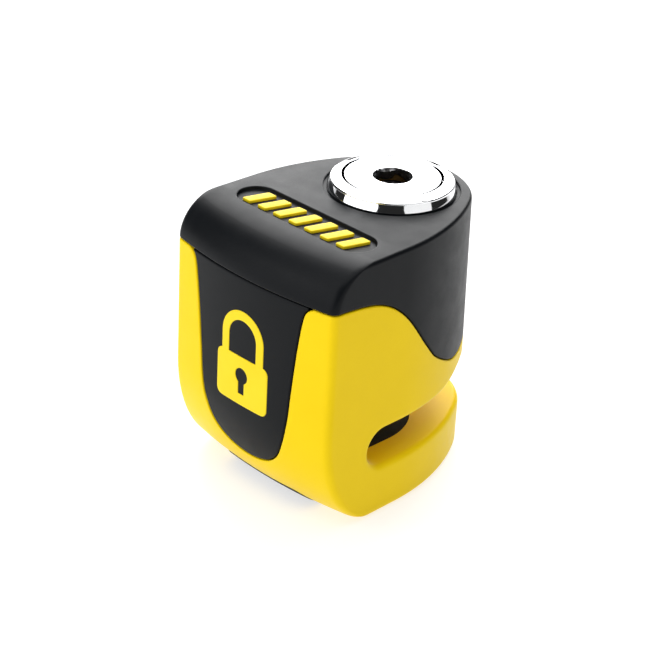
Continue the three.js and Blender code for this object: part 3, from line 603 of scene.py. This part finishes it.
# ---- The hood ----
BADGE_Y, BADGE_HALF, BADGE_R, BADGE_DEPTH = -12.8, 18.3, 4.2, 0.7
BADGE_RIM_R = 0.3
SEAT_RIM_R, SEAT_DEPTH = 0.2, 0.5
HOOD_HOLE_R, HOOD_HOLE_DEPTH = 12.5, 4.0
HOOD_TURN_IN, HOOD_TURN_UP = 2.2, 3.0  # the skirt behind its lower edge
ROLL_LOW = 52.4  # from here up, the rows follow the round front edge
_top_steps = (0.8, 0.68, 0.54, 0.4, 0.28, 0.18, 0.1, 0.04, 0.0)
_roll = [TOP - TOP_ROLL[0] * (1 - math.sin(t)) for t in np.linspace(0, QUARTER, 26)]
ROLL_LEVELS = [ROLL_LOW] + [z for z in _roll if ROLL_LOW + 0.1 < z < TOP - _top_steps[0]]
ROLL_LEVELS += [TOP - d for d in _top_steps]


def stadium(grow, z, n=24):
    """The outline of the badge's recess."""
    r = BADGE_R + grow
    centre = BADGE_HALF - BADGE_R
    turns = np.linspace(-QUARTER, QUARTER, n)
    ends = [(centre + r * math.cos(a), BADGE_Y + r * math.sin(a), z) for a in turns]
    return ends + [(-x, 2 * BADGE_Y - y, z) for x, y, _ in ends]


def hood_wall(b):
    """The wall from the lower edge to the flat top. Returns the top's rim."""
    raw = [settle(c, lambda p: hood_edge(p[1])) for c in LOOP]
    ring = LOOP + LOOP[:1]
    pts = np.array([surface(c, z)[:2] for c, z in zip(ring, raw + raw[:1])])
    s = np.concatenate([[0], np.cumsum(np.linalg.norm(np.diff(pts, axis=0), axis=1))])
    cosine = 1 / np.sqrt(1 + np.gradient(np.array(raw + raw[:1]), s) ** 2)
    columns = []
    for i, column in enumerate(LOOP):
        low = raw[i] + SEAM / cosine[i]
        z_edge = [low + k * EDGE / cosine[i] for k in reversed(EDGE_STEPS)]
        z_side = [z_edge[-1] + (ROLL_LOW - z_edge[-1]) * t for t in np.linspace(0, 1, 22)[1:-1]]
        points = [surface(column, low + HOOD_TURN_UP, HOOD_TURN_IN), surface(column, low, HOOD_TURN_IN)]
        points.append(surface(column, low, EDGE + 0.6))
        for k, z in zip(reversed(EDGE_STEPS), z_edge):
            points.append(surface(column, z, rounded(k * EDGE, EDGE)))
        points += [surface(column, z) for z in z_side + ROLL_LEVELS]
        columns.append(points)
    rows = [list(row) for row in zip(*columns)]
    b.grid(rows, close=True)
    return rows[-1]


def hood_top(b, rim):
    """The flat top, with the badge's recess and the bezel's seat."""
    recess, hole = [], []
    for a in [math.radians(a) for a in (0, 22, 45, 68, 90)]:
        out, down = 1 - math.sin(a), 1 - math.cos(a)
        recess.append(stadium(BADGE_RIM_R * out, TOP - BADGE_RIM_R * down))
        hole.append(circle(SEAT_R + SEAT_RIM_R * out, TOP - SEAT_RIM_R * down))
    recess += [stadium(0, TOP - BADGE_DEPTH + 0.15), stadium(-0.15, TOP - BADGE_DEPTH)]
    hole += [circle(SEAT_R, TOP - SEAT_DEPTH), circle(HOOD_HOLE_R, TOP - SEAT_DEPTH)]
    hole.append(circle(HOOD_HOLE_R, TOP - HOOD_HOLE_DEPTH))
    b.fill([rim, recess[0], hole[0]])
    b.grid(recess, close=True, flip=True)
    b.grid(hole, close=True, flip=True)
    b.fill([recess[-1]])


def hood(material):
    b = Build()
    hood_top(b, hood_wall(b))
    return b.object("hood_shell", material, "housing", ["top_hood"], sharp=50)


BAR = {"count": 7, "pitch": 4.5, "width": 2.5, "slant": 1.7, "half": 3.0, "corner": 0.35, "edge": 0.22}
BAR_FOOT, BAR_FACE = 1.2, 0.12  # depths below the hood's top


def bar_outline(x, inset, z):
    half = BAR["half"]
    w, h = BAR["width"] / 2 - inset, half - inset
    shift = BAR["slant"] / 2 * h / half
    near = [(x - w - shift, BADGE_Y - h), (x + w - shift, BADGE_Y - h)]
    far = [(x + w + shift, BADGE_Y + h), (x - w + shift, BADGE_Y + h)]
    return round_corners(near + far, BAR["corner"] - inset * 0.5, z)


def badge_bars(material):
    b = Build()
    r = BAR["edge"]
    for i in range(BAR["count"]):
        x = (i - (BAR["count"] - 1) / 2) * BAR["pitch"]
        rows = [bar_outline(x, 0, TOP - BAR_FOOT)]
        for a in np.linspace(0, QUARTER, 6):
            rows.append(bar_outline(x, r * (1 - math.cos(a)), TOP - BAR_FACE - r * (1 - math.sin(a))))
        b.grid(rows, close=True)
        b.fill([rows[-1]])
        b.fill([rows[0]], up=False)
    return b.object("badge_bars", material, "housing", ["badge_inlay"], sharp=40)


# ---- The front panel and its sign ----
PANEL_SINK = 0.14  # the panel lies this much behind the housing's face
PANEL_SIDE_X = 17.2  # its sides end here, under the hood
PANEL_TURN_IN = 3.0


def front_column(x):
    return ("front", abs(x) / FRONT_END, 1 if x >= 0 else -1)


def panel(material):
    b = Build()
    xs = [x for x in by_length(PANEL_CURVE, PANEL_STEP)[:, 0] if x < PANEL_SIDE_X]
    xs = [-x for x in reversed(xs[1:])] + xs
    bottom = np.array([panel_edge(x) for x in xs])
    slope = np.gradient(bottom, np.array(xs))
    cosine = 1 / np.sqrt(1 + slope**2)
    columns = []
    top = hood_edge(FRONT_Y) - SEAM
    lows = [z + SEAM / k for z, k in zip(bottom, cosine)]
    poly_x, poly_z = np.array(xs), np.array(lows)
    for i, x in enumerate(xs):
        column = front_column(x)
        low = min(lows[i], top - 0.02)
        reach = EDGE_STEPS[0] * EDGE / cosine[i]
        room = top - low
        zs = [low + k * EDGE / cosine[i] for k in reversed(EDGE_STEPS)]
        if zs[-1] > low + room * 0.8:  # near the panel's top corners there is less room
            zs = [low + (z - low) * room * 0.8 / reach for z in zs]
        zs += [zs[-1] + (top - EDGE - zs[-1]) * t for t in np.linspace(0, 1, 44)[1:]]
        zs += [top - EDGE * k for k in (0.8, 0.6, 0.4, 0.2, 0.08, 0.0)]
        points = [surface(column, low, PANEL_TURN_IN)]
        for z in zs:
            d = min(distance_to(x, z, poly_x, poly_z), top - z)
            points.append(surface(column, z, PANEL_SINK + rounded(d, EDGE)))
        points.append(surface(column, top, PANEL_TURN_IN))
        columns.append(points)
    b.grid([list(row) for row in zip(*columns)])
    return b.object("front_shield", material, "housing", ["front_panel"], sharp=50)


def front_point(x, z, proud):
    """A point on the front face, standing proud of the panel."""
    return surface(front_column(x), z, PANEL_SINK - proud)


SIGN = {"half": 7.4, "low": 22.4, "high": 33.4, "corner": 1.6, "shackle": 5.0, "wide": 2.1, "top": 37.6}
SIGN_KEYHOLE = {"r": 1.75, "centre": 29.1, "half": 0.85, "low": 24.9}
SIGN_MIDDLE = (0.0, 28.0)
SIGN_TURNS = 160
SIGN_EDGE_R, SIGN_PROUD, SIGN_BACK = 0.16, 0.14, -0.4


def plate_outline(inset):
    """The plate's outline at even turns about its middle, so that it matches the keyhole's."""
    half, low, high = SIGN["half"] - inset, SIGN["low"] + inset, SIGN["high"] - inset
    corners = [(-half, low), (half, low), (half, high), (-half, high)]
    return cast(round_corners(corners, SIGN["corner"] - inset, 0, 9), *SIGN_MIDDLE, SIGN_TURNS)


def keyhole_outline(grow):
    k = SIGN_KEYHOLE
    r, centre, half, low = k["r"] + grow, k["centre"], k["half"] + grow, k["low"] - grow
    join = math.asin(half / r)
    turns = np.linspace(join, 2 * math.pi - join, 40)
    outline = [(-half, low, 0), (half, low, 0)]
    outline += [(r * math.sin(a), centre - r * math.cos(a), 0) for a in turns]
    return cast(outline, *SIGN_MIDDLE, SIGN_TURNS)


def shackle_path(offset, n=36):
    """A half circle on two straight legs."""
    r = SIGN["shackle"] + offset
    legs = np.linspace(SIGN["high"] - 0.5, SIGN["top"], 8)[:-1]
    points = [(r, z) for z in legs]
    points += [(r * math.cos(a), SIGN["top"] + r * math.sin(a)) for a in np.linspace(0, math.pi, n)]
    return points + [(-r, z) for z in reversed(legs)]


def sign(material):
    b = Build()
    r = SIGN_EDGE_R

    def layer(points, lift):
        return [front_point(x, z, lift) for x, z in points]

    edge = [(r * (1 - math.cos(a)), r * (1 - math.sin(a))) for a in np.linspace(0, QUARTER, 5)]
    rows = [layer(plate_outline(0), SIGN_BACK)]
    rows += [layer(plate_outline(inset), SIGN_PROUD - drop) for inset, drop in edge]
    outline, hole = plate_outline(r), keyhole_outline(r)
    for t in np.linspace(0, 1, 9)[1:-1]:
        between = [(p[0] + (q[0] - p[0]) * t, p[1] + (q[1] - p[1]) * t) for p, q in zip(outline, hole)]
        rows.append(layer(between, SIGN_PROUD))
    rows += [layer(keyhole_outline(inset), SIGN_PROUD - drop) for inset, drop in reversed(edge)]
    rows.append(layer(keyhole_outline(0), SIGN_BACK))
    b.grid(rows, close=True)

    half, top = SIGN["wide"] / 2, SIGN_PROUD - 0.02
    band = [(half, SIGN_BACK)]
    band += [(half - inset, top - drop) for inset, drop in edge]
    band += [(k * (half - r), top) for k in (0.5, 0, -0.5)]
    band += [(-half + inset, top - drop) for inset, drop in reversed(edge)]
    band += [(-half, SIGN_BACK)]
    b.grid([layer(shackle_path(offset), lift) for offset, lift in band])
    return b.object("padlock_sign", material, "housing", ["front_sign"], sharp=40)


# ---- Turned pieces ----
GROOVE, SEAL_GROOVE = 0.32, 0.7  # how far they go out from the bore


def bezel(material):
    r, rim, base, foot = BEZEL_R, RIM_R, TOP + 0.12, TOP - 0.4
    profile = [(12.2, 51.2), (12.2, foot), (r - 0.1, foot), (r, TOP - 0.3)]
    profile += [(r, base - 0.06), (r - 0.02, base)]
    for t in (0.1, 0.35, 0.65, 0.9, 1):
        profile.append((r + (rim + 0.12 - r) * t, base + (RIM_Z - 0.34 - base) * t))
    profile += arc_profile(rim - 0.21, RIM_Z - 0.33, 0.34, 12, 76, 7)
    groove, seal = BORE_R + GROOVE, BORE_R + SEAL_GROOVE
    slope = (BEZEL_TOP - RIM_Z) / (rim - groove)
    for t in (0.16, 0.3, 0.55, 0.8, 1):
        profile.append((rim + (groove + 0.08 - rim) * t, RIM_Z + slope * (rim - groove - 0.08) * t))
    profile += [(groove + 0.03, BEZEL_TOP - 0.03), (groove, BEZEL_TOP - 0.1), (groove, 58.2), (BORE_R, 58.0)]
    profile += [(BORE_R, 57.2), (seal, 57.0), (seal, 55.6), (BORE_R, 55.4), (BORE_R, 51.2)]
    return lathe(profile, "chrome_bezel", material, "housing", ["bezel_ring"], n=192)


def barrel(material):
    """The extra points near the ends of the side keep its shading straight."""
    r, hole, top = BARREL_R, KEYHOLE_R, BARREL_TOP
    profile = [(6.3, 30.2), (r - 0.4, 30.2), (r, 30.6), (r, 30.8), (r, top - 0.3), (r, top - 0.1)]
    profile += arc_profile(r - 0.1, top - 0.1, 0.1, 0, 90, 5)[1:]
    profile += [(8.0, top), (6.0, top), (hole + 0.25, top)]
    profile += arc_profile(hole + 0.12, top - 0.12, 0.12, 90, 180, 6)
    profile += [(hole, top - 0.8), (hole, 59.0), (6.3, 59.0)]
    return lathe(profile, "push_barrel", material, "barrel", ["lock_barrel"], n=192)


def locking_pin(material):
    r, tip, end = PIN_R, PIN_TIP, 34.0
    profile = [(0, tip), (1.6, tip), (2.1, 7.45), (2.6, 7.75), (2.9, 8.2), (r, 8.75)]
    profile += [(r, 9.0), (r, 33.8), (r, end), (0, end)]
    return lathe(profile, "hardened_pin", material, "barrel", ["locking_pin"], n=64, closed=False)


def pad(material):
    b = Build()
    low, high, hole, edge = PAD["low"], PAD["high"], PAD["hole"], PAD["edge"]
    rows = [[(x, y, z) for x, y in pad_outline(0)] for z in (low, high - edge)]
    rows.append([(x, y, high) for x, y in pad_outline(-edge)])
    b.grid(rows, close=True)
    b.fill([rows[-1], circle(hole, high)])
    b.grid([circle(hole, high), circle(hole, low)], close=True, flip=True)
    b.fill([rows[0], circle(hole, low)], up=False)
    return b.object("jaw_pad", material, "housing", ["slot_pad"], sharp=40)


# ---- The hatch under the housing ----
HATCH = {"half": 12.4, "front": -22.4, "back": 13.2, "r": 3.5, "edge": 0.4}


def under(x, y):
    """Height of the underside, which rises towards the front."""
    arc_y = FRONT_Y + FRONT_R - math.sqrt(FRONT_R**2 - x * x)
    share = 1 - (y - arc_y) / BOTTOM_ROLL[1]
    if share <= 0:
        return 0.0
    return BOTTOM_ROLL[0] * (1 - math.sqrt(max(0.0, 1 - min(share, 1) ** 2)))


def hatch(material):
    b = Build()
    half, front, back, edge = HATCH["half"], HATCH["front"], HATCH["back"], HATCH["edge"]
    corners = [(-half, front), (half, front), (half, back), (-half, back)]
    middle = (0.0, (front + back) / 2)
    outline = cast(round_corners(corners, HATCH["r"], 0, 9), *middle, 180)

    def ring(share, lift):
        pts = [(middle[0] + (x - middle[0]) * share, middle[1] + (y - middle[1]) * share) for x, y in outline]
        return [(x, y, under(x, y) + lift) for x, y in pts]

    rows = [ring(1, 1.5), ring(1, edge)]
    for a in np.linspace(0, QUARTER, 6):
        rows.append(ring(1 - 0.02 * (1 - math.cos(a)), edge * (1 - math.sin(a))))
    rows += [ring(t, 0) for t in np.linspace(0.95, 0.05, 26)]
    b.grid(rows, close=True, flip=True)
    b.fill([rows[-1]], up=False)
    return b.object("sound_hatch", material, "housing", ["bottom_hatch"], sharp=40)


# ---- Materials ----
def new_material(name):
    m = bpy.data.materials.new(name)
    m.use_nodes = True
    tree = m.node_tree
    shader = tree.nodes["Principled BSDF"]
    coords = tree.nodes.new("ShaderNodeTexCoord")
    return m, tree, shader, coords.outputs["Object"]


def noise(tree, vector, scale, detail=4.0, roughness=0.55):
    n = tree.nodes.new("ShaderNodeTexNoise")
    n.inputs["Scale"].default_value = scale
    n.inputs["Detail"].default_value = detail
    n.inputs["Roughness"].default_value = roughness
    tree.links.new(vector, n.inputs["Vector"])
    return n.outputs["Fac"]


def ramp(tree, value, low, high, lo_at=0.3, hi_at=0.7):
    r = tree.nodes.new("ShaderNodeMapRange")
    r.inputs["From Min"].default_value = lo_at
    r.inputs["From Max"].default_value = hi_at
    r.inputs["To Min"].default_value = low
    r.inputs["To Max"].default_value = high
    tree.links.new(value, r.inputs["Value"])
    return r.outputs["Result"]


def blend(tree, factor, a, b):
    mix = tree.nodes.new("ShaderNodeMix")
    mix.data_type = "RGBA"
    for socket, colour in ((mix.inputs[6], a), (mix.inputs[7], b)):
        if isinstance(colour, tuple):
            socket.default_value = (*colour, 1)
        else:
            tree.links.new(colour, socket)
    tree.links.new(factor, mix.inputs[0])
    return mix.outputs[2]


def bumps(tree, shader, layers):
    """Chains bump layers: (height, strength, distance in metres)."""
    normal = None
    for height, strength, distance in layers:
        bump = tree.nodes.new("ShaderNodeBump")
        bump.inputs["Strength"].default_value = strength
        bump.inputs["Distance"].default_value = distance
        tree.links.new(height, bump.inputs["Height"])
        if normal:
            tree.links.new(normal, bump.inputs["Normal"])
        normal = bump.outputs["Normal"]
    tree.links.new(normal, shader.inputs["Normal"])


def set_inputs(shader, **values):
    for name, value in values.items():
        shader.inputs[name.replace("_", " ")].default_value = value


def yellow_paint():
    m, tree, shader, at = new_material("yellow_paint")
    broad = noise(tree, at, 55, 3)
    speck = noise(tree, at, 2600, 2, 0.5)
    base = blend(tree, ramp(tree, broad, 0, 1), (0.87, 0.61, 0.004), (0.90, 0.64, 0.006))
    base = blend(tree, ramp(tree, speck, 0, 0.2, 0.45, 0.75), base, (0.82, 0.56, 0.004))
    tree.links.new(base, shader.inputs["Base Color"])
    tree.links.new(ramp(tree, noise(tree, at, 420, 5), 0.30, 0.40), shader.inputs["Roughness"])
    set_inputs(shader, Specular_IOR_Level=0.07)
    peel = noise(tree, at, 900, 2, 0.5)
    bumps(tree, shader, [(peel, 0.16, 0.00006), (speck, 0.05, 0.00002)])
    return m


def black_plastic():
    m, tree, shader, at = new_material("black_plastic")
    broad = noise(tree, at, 60, 4)
    grain = noise(tree, at, 5200, 3, 0.6)
    base = blend(tree, ramp(tree, broad, 0, 1), (0.0028, 0.0036, 0.0048), (0.0040, 0.0050, 0.0064))
    tree.links.new(base, shader.inputs["Base Color"])
    worn = tree.nodes.new("ShaderNodeMath")
    worn.operation = "ADD"
    tree.links.new(ramp(tree, noise(tree, at, 240, 5, 0.6), 0.36, 0.44), worn.inputs[0])
    tree.links.new(ramp(tree, grain, -0.03, 0.03), worn.inputs[1])
    tree.links.new(worn.outputs[0], shader.inputs["Roughness"])
    set_inputs(shader, Specular_IOR_Level=0.105)
    bumps(tree, shader, [(grain, 0.28, 0.00003), (noise(tree, at, 1500, 2), 0.06, 0.00005)])
    return m


def yellow_moulding():
    m, tree, shader, at = new_material("yellow_moulding")
    broad = noise(tree, at, 120, 3)
    base = blend(tree, ramp(tree, broad, 0, 1), (0.86, 0.64, 0.012), (0.90, 0.68, 0.018))
    tree.links.new(base, shader.inputs["Base Color"])
    tree.links.new(ramp(tree, noise(tree, at, 800, 4), 0.32, 0.42), shader.inputs["Roughness"])
    set_inputs(shader, Specular_IOR_Level=0.1)
    bumps(tree, shader, [(noise(tree, at, 3500, 2), 0.12, 0.00002)])
    return m


def metal(name, low, high, rough, grain_scale, strength=0.05, stretch=(1, 1, 1)):
    """A bare or plated metal with fine marks. stretch draws the marks out along an axis."""
    m, tree, shader, at = new_material(name)
    mapping = tree.nodes.new("ShaderNodeMapping")
    mapping.inputs["Scale"].default_value = stretch
    tree.links.new(at, mapping.inputs["Vector"])
    marks = noise(tree, mapping.outputs["Vector"], grain_scale, 5, 0.65)
    cloud = noise(tree, at, 150, 3)
    tree.links.new(blend(tree, ramp(tree, cloud, 0, 1), low, high), shader.inputs["Base Color"])
    tree.links.new(ramp(tree, marks, rough[0], rough[1]), shader.inputs["Roughness"])
    set_inputs(shader, Metallic=1.0)
    bumps(tree, shader, [(marks, strength, 0.00001)])
    return m


def plain_moulding(name, low, high, rough, grain_scale=3000, strength=0.15, specular=0.5):
    m, tree, shader, at = new_material(name)
    broad = noise(tree, at, 180, 4)
    tree.links.new(blend(tree, ramp(tree, broad, 0, 1), low, high), shader.inputs["Base Color"])
    tree.links.new(ramp(tree, noise(tree, at, 700, 4), rough[0], rough[1]), shader.inputs["Roughness"])
    set_inputs(shader, Specular_IOR_Level=specular)
    bumps(tree, shader, [(noise(tree, at, grain_scale, 3), strength, 0.00004)])
    return m


def grey(value):
    return (value, value, value)


MATERIALS = {
    "yellow_paint": yellow_paint(),
    "black_plastic": black_plastic(),
    "yellow_plastic": yellow_moulding(),
    "chrome": metal("chrome", (0.86, 0.87, 0.88), (0.92, 0.92, 0.93), (0.035, 0.075), 900, 0.02),
    "steel": metal(
        "hardened_steel", (0.48, 0.48, 0.49), (0.58, 0.58, 0.59), (0.20, 0.34), 1800, 0.08, (1, 1, 0.05)
    ),
    "dark_steel": metal("black_steel", grey(0.10), (0.16, 0.155, 0.15), (0.32, 0.48), 1500, 0.08),
    "brass": metal("brass", (0.58, 0.42, 0.18), (0.68, 0.51, 0.24), (0.25, 0.42), 1600, 0.08),
    "seal_rubber": plain_moulding("seal_rubber", grey(0.012), grey(0.02), (0.6, 0.8)),
    "pad_rubber": plain_moulding(
        "pad_rubber", (0.008, 0.008, 0.009), (0.012, 0.012, 0.013), (0.62, 0.82), 2400, 0.35, 0.06
    ),
    "cell_steel": metal("cell_steel", (0.66, 0.66, 0.65), (0.74, 0.74, 0.73), (0.18, 0.3), 1200, 0.05),
    "inner_plastic": plain_moulding("inner_plastic", grey(0.015), grey(0.025), (0.45, 0.6)),
    "circuit_board": plain_moulding(
        "circuit_board", (0.01, 0.09, 0.035), (0.015, 0.13, 0.05), (0.3, 0.42), 1200, 0.1
    ),
    "red_wire": plain_moulding("red_wire", (0.42, 0.01, 0.008), (0.5, 0.015, 0.01), (0.35, 0.45)),
    "black_wire": plain_moulding("black_wire", grey(0.015), grey(0.022), (0.35, 0.45)),
}

for subpart in frame["record"]["subparts"]:
    mesh = NODES[subpart["node"]].data
    mesh.materials.clear()
    mesh.materials.append(MATERIALS[subpart["material_slot"]])

housing(MATERIALS["yellow_paint"])
hood(MATERIALS["black_plastic"])
badge_bars(MATERIALS["yellow_plastic"])
panel(MATERIALS["black_plastic"])
sign(MATERIALS["yellow_plastic"])
bezel(MATERIALS["chrome"])
barrel(MATERIALS["chrome"])
locking_pin(MATERIALS["steel"])
pad(MATERIALS["pad_rubber"])
hatch(MATERIALS["black_plastic"])


# ---- Floor, light and camera ----
FLOOR_HALF = 3.0
MIDDLE = (0, 0, 0.03)
# The camera solved from the photo: azimuth, elevation and roll in degrees, place and lens in millimetres.
CAMERA_ANGLES = (44.429, 28.096, 3.072)
CAMERA_PLACE = (265.772, -275.605, 234.262)
CAMERA_LENS = 113.47


def floor():
    mesh = bpy.data.meshes.new("floor")
    s = FLOOR_HALF
    mesh.from_pydata([(-s, -s, 0), (s, -s, 0), (s, s, 0), (-s, s, 0)], [], [(0, 1, 2, 3)])
    m, tree, shader, at = new_material("floor")
    tone = ramp(tree, noise(tree, at, 3, 2), 0, 1)
    tree.links.new(blend(tree, tone, grey(0.45), grey(0.47)), shader.inputs["Base Color"])
    set_inputs(shader, Roughness=0.9, Specular_IOR_Level=0.1)
    set_inputs(shader, Emission_Color=(1, 1, 1, 1), Emission_Strength=0.64)
    mesh.materials.append(m)
    obj = bpy.data.objects.new("floor", mesh)
    bpy.context.scene.collection.objects.link(obj)


def area_light(name, place, size, power):
    """A white light aimed at the lock's middle."""
    data = bpy.data.lights.new(name, "AREA")
    data.shape = "RECTANGLE"
    data.size, data.size_y = size
    data.energy = power
    obj = bpy.data.objects.new(name, data)
    obj.location = place
    obj.rotation_euler = (Vector(MIDDLE) - Vector(place)).to_track_quat("-Z", "Y").to_euler()
    bpy.context.scene.collection.objects.link(obj)


def camera():
    azimuth, elevation, roll = (math.radians(a) for a in CAMERA_ANGLES)
    level = math.cos(elevation)
    back = Vector((math.sin(azimuth) * level, -math.cos(azimuth) * level, math.sin(elevation)))
    right = Vector((math.cos(azimuth), math.sin(azimuth), 0))
    up = back.cross(right)
    x = math.cos(roll) * right + math.sin(roll) * up
    y = -math.sin(roll) * right + math.cos(roll) * up
    data = bpy.data.cameras.new("camera")
    data.lens = CAMERA_LENS
    data.sensor_width = 36
    data.clip_start = 0.01
    obj = bpy.data.objects.new("camera", data)
    rows = [[x[i], y[i], back[i]] for i in range(3)]
    place = Vector(CAMERA_PLACE) * MM
    obj.matrix_world = Matrix.Translation(place) @ Matrix(rows).to_4x4()
    bpy.context.scene.collection.objects.link(obj)
    bpy.context.scene.camera = obj


def world():
    w = bpy.data.worlds.new("studio")
    w.use_nodes = True
    w.node_tree.nodes["Background"].inputs["Color"].default_value = (1, 1, 1, 1)
    w.node_tree.nodes["Background"].inputs["Strength"].default_value = 0.02
    bpy.context.scene.world = w


floor()
world()
camera()
bpy.context.scene.view_settings.view_transform = "Standard"
area_light("backdrop", (-0.62, 0.63, 0.56), (1.05, 1.0), 17.0)
area_light("overhead", (0.0, 0.0, 1.0), (1.2, 1.2), 8.6)
area_light("key", (-0.15, -0.66, 0.26), (0.9, 0.45), 2.6)
area_light("fill", (-0.36, -0.55, 0.62), (0.4, 0.4), 1.3)
area_light("side", (0.68, 0.03, 0.26), (0.65, 0.45), 0.9)
